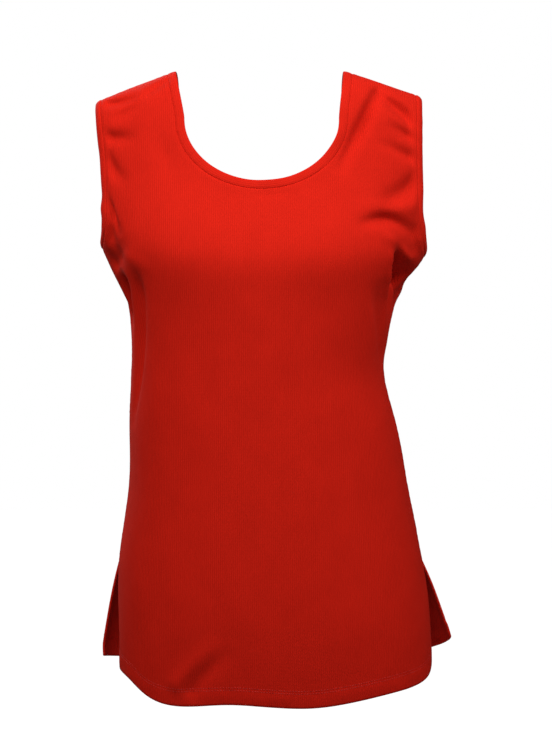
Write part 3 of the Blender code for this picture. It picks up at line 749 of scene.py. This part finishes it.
def shell(name, panel, material):
    """The panel's outer and inner faces, closed by a rounded rim."""
    used = np.unique(panel.cells)
    size = len(used)
    number = np.full(panel.runs.size, -1)
    number[used] = np.arange(size)
    cells = number[panel.cells]
    outer, inner, facing = (
        side.reshape(-1, 3)[used] for side in (panel.outer, panel.inner, panel.facing)
    )
    uv = np.stack([panel.across.reshape(-1)[used], panel.runs.reshape(-1)[used]], axis=1)
    ways = np.concatenate([cells[:, [k, (k + 1) % 4]] for k in range(4)])
    key, back_key = ways[:, 0] * size + ways[:, 1], ways[:, 1] * size + ways[:, 0]
    rim = ways[~np.isin(key, back_key)]
    outward = np.zeros_like(outer)
    sideways = np.cross(outer[rim[:, 1]] - outer[rim[:, 0]], facing[rim[:, 0]])
    for k in range(2):
        np.add.at(outward, rim[:, k], unit(sideways))
    border = np.unique(rim)
    half = np.linalg.norm(outer[border] - inner[border], axis=1)[:, None] / 2
    middle = (outer[border] + inner[border]) / 2 + unit(outward[border]) * half * RIM_ROUND
    place = np.full(size, -1)
    place[border] = 2 * size + np.arange(len(border))
    a, b = rim.T
    faces = np.concatenate(
        [
            cells,
            cells[:, ::-1] + size,
            np.stack([b, a, place[a], place[b]], axis=1),
            np.stack([place[b], place[a], a + size, b + size], axis=1),
        ]
    )
    points = np.concatenate([outer, inner, middle])
    return new_object(name, points, faces, material, np.concatenate([uv, uv, uv[border]]))


def ring_of(first, second):
    """Two panels' edge points that meet at both ends, as one ring."""
    start = (first[:1] + second[-1:]) / 2
    middle = (first[-1:] + second[:1]) / 2
    return np.concatenate([start, first[1:-1], middle, second[1:-1]])


def settled(vectors, times):
    """A ring of vectors, each eased towards its neighbours."""
    for _ in range(times):
        vectors = (np.roll(vectors, 1, 0) + 2 * vectors + np.roll(vectors, -1, 0)) / 4
    return vectors


def band(name, first, second, material, seed, roll, curl):
    """A folded band on a closed seam; each edge is (points, normals), the opening on their left."""
    points = ring_of(first[0], second[0])
    following = np.roll(points, -1, axis=0)
    normals = unit(settled(unit(ring_of(first[1], second[1])), BAND_SETTLED["normals"]))
    along = unit(settled(following - np.roll(points, 1, axis=0), BAND_SETTLED["along"]))
    into = unit(np.cross(normals, along))
    lengths = np.linalg.norm(following - points, axis=1)
    run = np.concatenate([[0], np.cumsum(lengths)[:-1]])
    pucker = ripple(points, BAND_PUCKER["size"], seed)[:, None]
    roll = roll + curl * bell(points[:, 2].max() - points[:, 2:], CURL_DROP)
    rings, uvs = [], []
    for across, out in BAND_SECTION:
        near_seam = bell(across - BAND_PUCKER["at"], BAND_PUCKER["reach"])
        lift = out * MM + BAND_PUCKER["lift"] * pucker * near_seam * (out > BAND_EDGE["out"])
        spread = across * MM + BAND_PUCKER["spread"] * pucker * (across < BAND_EDGE["across"])
        over = roll * across * MM / BAND_WIDTH
        way = into * np.cos(over / 2) - normals * np.sin(over / 2)
        facing = normals * np.cos(over) + into * np.sin(over)
        rings.append(points + into * SEAM_GAP + way * spread + facing * lift)
        uvs.append(np.stack([np.full(len(run), across * MM), run], axis=1))
    size, count = len(points), len(BAND_SECTION)
    k, j = np.meshgrid(np.arange(count), np.arange(size), indexing="ij")
    here, after = k * size + j, k * size + (j + 1) % size
    there, beyond = ((k + 1) % count) * size + j, ((k + 1) % count) * size + (j + 1) % size
    faces = np.stack([here, after, beyond, there], axis=-1).reshape(-1, 4)
    return new_object(name, np.concatenate(rings), faces, material, np.concatenate(uvs))


def spaced(line, every):
    """Places along a line about so far apart, and the way along it at each."""
    along = lengths_along(line[None])[0]
    count = max(int(along[-1] / every), 2)
    at = (np.arange(count) + 0.5) * along[-1] / count

    def place(shift):
        return np.stack([np.interp(at + shift, along, line[:, k]) for k in range(3)], axis=1)

    return place(0), unit(place(PROBE) - place(-PROBE))


def stitches(name, lines, surface, material):
    """Rows of small stitches lying on a surface along these lines."""
    turn = np.arange(STITCH_SIDES) * 2 * math.pi / STITCH_SIDES
    points, faces = [], []
    for line in lines:
        for place, way in zip(*spaced(line, STITCH["every"])):
            found, normal, _, _ = surface.find_nearest(Vector(place))
            normal = np.array(normal)
            centre = np.array(found) + normal * STITCH["wide"] * STITCH["proud"]
            aside = unit(np.cross(way, normal))
            up = np.cross(aside, way)
            base = len(points)
            ring = np.outer(np.cos(turn), aside) + STITCH["flat"] * np.outer(np.sin(turn), up)
            for lengthways, thick in STITCH_PROFILE:
                middle = centre + way * STITCH["long"] * lengthways
                points.extend(middle + ring * thick * STITCH["wide"] / 2)
            for k in range(len(STITCH_PROFILE) - 1):
                for j in range(STITCH_SIDES):
                    a = base + k * STITCH_SIDES + j
                    b = base + k * STITCH_SIDES + (j + 1) % STITCH_SIDES
                    faces.append((a, b, b + STITCH_SIDES, a + STITCH_SIDES))
            faces.append(tuple(range(base + STITCH_SIDES - 1, base - 1, -1)))
            faces.append(tuple(range(len(points) - STITCH_SIDES, len(points))))
    return new_object(name, np.array(points), faces, material)


def level_line(strips, measures, level):
    """The line across strips of points where each strip's rising measure reaches a level."""
    line = []
    for points, measure in zip(strips, measures):
        at = np.interp(level, measure, np.arange(len(measure)))
        k = min(int(at), len(measure) - 2)
        line.append(points[k] + (points[k + 1] - points[k]) * (at - k))
    return np.array(line)


def stitch_lines(panel):
    """The twin rows above the hem, and the row beside each vent's edge down to them."""
    above = panel.above_hem
    lines = [level_line(panel.outer.swapaxes(0, 1), above.T, height) for height in HEM_ROWS]
    in_vent = drop_of(panel.runs[:, 0]) > VENT_TOP + VENT_ROW_STARTS
    rows = np.flatnonzero(in_vent & (above[:, 0] > HEM_ROWS[1]))
    half = panel.columns // 2
    for step in (1, -1):
        points = panel.outer[rows][:, ::step][:, :half]
        inward = panel.from_side[rows][:, ::step][:, :half]
        lines.append(level_line(points, inward, VENT_TURN))
    return lines


# ---- materials ----
class Tree:
    """A node tree, with short ways to add nodes and join them."""

    def __init__(self, owner):
        owner.use_nodes = True
        self.nodes = owner.node_tree.nodes
        self.join = owner.node_tree.links.new

    def feed(self, node, values):
        """Sets a node's inputs, by name or number, to values or to other nodes' sockets."""
        for key, value in values.items():
            if isinstance(value, bpy.types.NodeSocket):
                self.join(value, node.inputs[key])
            else:
                node.inputs[key].default_value = value
        return node

    def add(self, kind, values, output, **settings):
        """A new node's output, with its inputs fed and its settings made."""
        node = self.nodes.new("ShaderNode" + kind)
        for key, value in settings.items():
            setattr(node, key, value)
        return self.feed(node, values).outputs[output]

    def maths(self, operation, *values):
        """The result of a sum on numbers or sockets."""
        return self.add("Math", dict(enumerate(values)), 0, operation=operation)

    def noise(self, scale, detail, place):
        """Noise from 0 to 1 through the object."""
        return self.add("TexNoise", {"Scale": scale, "Detail": detail, "Vector": place}, "Fac")

    def mixed_red(self, share, ends):
        """A colour between two shades of the cloth's red."""
        node = self.nodes.new("ShaderNodeValToRGB")
        for element, (position, shares) in zip(node.color_ramp.elements, ends):
            element.position = position
            element.color = [value * part for value, part in zip(RED, shares)] + [1.0]
        return self.feed(node, {"Fac": share}).outputs["Color"]

    def centred(self, value, height):
        """A value from 0 to 1 as a height above and below nothing."""
        return self.maths("MULTIPLY", self.maths("SUBTRACT", value, 0.5), height)


def jersey(name, depth=1.0):
    """Fine rib jersey: ribs and loops in relief, their valleys painted darker as shade and their
    crests lighter, a matt nap and slight random changes of tone.
    """
    made = bpy.data.materials.new(name)
    made.diffuse_color = RED
    tree = Tree(made)
    maths = tree.maths
    shader = tree.feed(tree.nodes["Principled BSDF"], JERSEY)
    place = tree.add("TexCoord", {}, "Object")
    cloth = tree.nodes.new("ShaderNodeSeparateXYZ")
    tree.feed(cloth, {0: tree.add("UVMap", {}, "UV", uv_map="cloth")})
    across, down = cloth.outputs["X"], cloth.outputs["Y"]

    wander = tree.noise(RIB_WOBBLE["scale"], RIB_WOBBLE["detail"], place)
    wobble = tree.centred(wander, RIB_PITCH * RIB_WOBBLE["share"])
    rib = maths("SINE", maths("MULTIPLY", maths("ADD", across, wobble), 2 * math.pi / RIB_PITCH))
    loop = maths("SINE", maths("MULTIPLY", down, 2 * math.pi / LOOP_PITCH))
    loop = maths("MULTIPLY", loop, maths("ADD", maths("MULTIPLY", rib, 0.5), 0.5))
    nap = tree.noise(NAP["scale"], NAP["detail"], place)
    patch = tree.noise(PATCHES["scale"], PATCHES["detail"], place)

    ribbed = maths("MULTIPLY", rib, RELIEF["rib"] * depth)
    height = maths("ADD", ribbed, maths("MULTIPLY", loop, RELIEF["loop"]))
    height = maths("ADD", height, maths("MULTIPLY", nap, RELIEF["nap"]))
    # the red follows the ribs and loops, with painted shade in their valleys and painted light on
    # their crests; the nap and patches add random tone
    tone_and_rib_shade = maths("MULTIPLY", rib, TONE_AND_RIB_SHADE["rib"] * depth)
    tone_and_rib_shade = maths("ADD", tone_and_rib_shade, maths("MULTIPLY", loop, TONE_AND_RIB_SHADE["loop"]))
    tone_and_rib_shade = maths("ADD", tone_and_rib_shade, tree.centred(nap, TONE_AND_RIB_SHADE["nap"]))
    tone_and_rib_shade = maths("ADD", tone_and_rib_shade, tree.centred(patch, TONE_AND_RIB_SHADE["patch"]))
    tone_and_rib_shade = maths("ADD", tone_and_rib_shade, 0.5)
    tree.feed(
        shader,
        {
            "Normal": tree.add("Bump", {**BUMP, "Height": height}, "Normal"),
            "Base Color": tree.mixed_red(tone_and_rib_shade, TONE_AND_RIB_SHADE_ENDS),
        },
    )
    return made


def thread(name):
    """Sewing thread of the cloth's red, a little darker and lighter along it."""
    made = bpy.data.materials.new(name)
    tree = Tree(made)
    place = tree.add("TexCoord", {}, "Object")
    grain = tree.noise(THREAD["scale"], THREAD["detail"], place)
    colour = tree.mixed_red(grain, THREAD_ENDS)
    tree.feed(
        tree.nodes["Principled BSDF"], {"Roughness": THREAD["rough"], "Base Color": colour}
    )
    return made


def paper():
    """Floor paper that takes the shadow and grows white away from the object, for the camera."""
    made = bpy.data.materials.new("floor_paper")
    tree = Tree(made)
    matt = tree.nodes["Principled BSDF"]
    grey = (FLOOR["grey"], FLOOR["grey"], FLOOR["grey"], 1)
    tree.feed(matt, {"Base Color": grey, "Roughness": FLOOR["rough"]})
    place = tree.add("TexCoord", {}, "Object")
    away = tree.add("VectorMath", {0: place}, "Value", operation="LENGTH")
    values = (away, *GLOW["from"], *GLOW["strength"])
    white = tree.add("MapRange", dict(enumerate(values)), "Result")
    seen = tree.maths("MULTIPLY", white, tree.add("LightPath", {}, "Is Camera Ray"))
    glow = tree.add("Emission", {"Strength": seen}, "Emission")
    both = tree.add("AddShader", {0: matt.outputs["BSDF"], 1: glow}, "Shader")
    tree.feed(tree.nodes["Material Output"], {"Surface": both})
    return made


def light_room(world):
    """A faint even light, with white in its place for the camera."""
    tree = Tree(world)
    sky = tree.feed(tree.nodes["Background"], {"Color": WHITE, "Strength": SKY["light"]})
    white = tree.add("Background", {"Color": WHITE, "Strength": SKY["seen"]}, "Background")
    seen = tree.add("LightPath", {}, "Is Camera Ray")
    both = tree.add("MixShader", {"Fac": seen, 1: sky.outputs["Background"], 2: white}, "Shader")
    tree.feed(tree.nodes["World Output"], {"Surface": both})


def area_light(name, place, towards, size, power):
    """A rectangular lamp turned towards a point."""
    lamp = bpy.data.lights.new(name, "AREA")
    lamp.shape = "RECTANGLE"
    lamp.size, lamp.size_y = size
    lamp.energy = power
    holder = bpy.data.objects.new(name, lamp)
    holder.location = place
    holder.rotation_mode = "QUATERNION"
    holder.rotation_quaternion = (Vector(towards) - Vector(place)).to_track_quat("-Z", "Y")
    bpy.context.scene.collection.objects.link(holder)


def declare(piece, node):
    """Says what a piece of cloth rides on and hides the solid that it stands for."""
    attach(piece, "root")
    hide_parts(node)


# ---- build ----
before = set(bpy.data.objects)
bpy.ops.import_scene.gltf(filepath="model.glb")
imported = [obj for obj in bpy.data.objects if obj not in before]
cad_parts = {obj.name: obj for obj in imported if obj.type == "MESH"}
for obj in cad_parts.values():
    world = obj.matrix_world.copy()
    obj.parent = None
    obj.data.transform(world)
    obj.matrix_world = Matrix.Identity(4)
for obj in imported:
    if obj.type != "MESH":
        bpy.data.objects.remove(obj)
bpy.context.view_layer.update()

panels = {"front_panel": Panel("front"), "back_panel": Panel("back")}
cloths = {}
for label, panel in panels.items():
    cloths[label] = shell(label + "_cloth", panel, jersey(label + "_knit"))
for label, edge, (starts_on, ends_on), seed, roll, curl in BANDS:
    first = panels[starts_on].sewn_edge(edge)
    second = panels[ends_on].sewn_edge(edge, turned=True)
    knit = jersey(label + "_knit", BAND_RIB)
    cloths[label] = band(label + "_cloth", first, second, knit, seed, roll, curl)

for label, panel in panels.items():
    surface = BVHTree.FromPolygons(panel.outer.reshape(-1, 3).tolist(), panel.cells.tolist())
    yarn = thread(label + "_thread")
    piece = stitches(label + "_stitches", stitch_lines(panel), surface, yarn)
    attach(piece, "root")

for label, piece in cloths.items():
    declare(piece, label)

# ---- floor, light and camera ----
scene = bpy.context.scene
bpy.ops.mesh.primitive_plane_add(size=FLOOR["size"], location=(0, 0, -FLOOR["drop"]))
floor = bpy.context.object
floor.name = "floor"
floor.data.materials.append(paper())

scene.world = bpy.data.worlds.new("studio")
light_room(scene.world)
for light in LIGHTS:
    area_light(*light)

lens = bpy.data.cameras.new("camera")
lens.lens = CAMERA["lens"]
lens.sensor_width = CAMERA["sensor"]
lens.clip_start = CAMERA["clip"]
camera = bpy.data.objects.new("camera", lens)
camera.location = CAMERA["at"]
camera.rotation_euler = (math.radians(90 - CAMERA["down"]), 0, 0)
scene.collection.objects.link(camera)
scene.camera = camera
scene.view_settings.view_transform = "Standard"
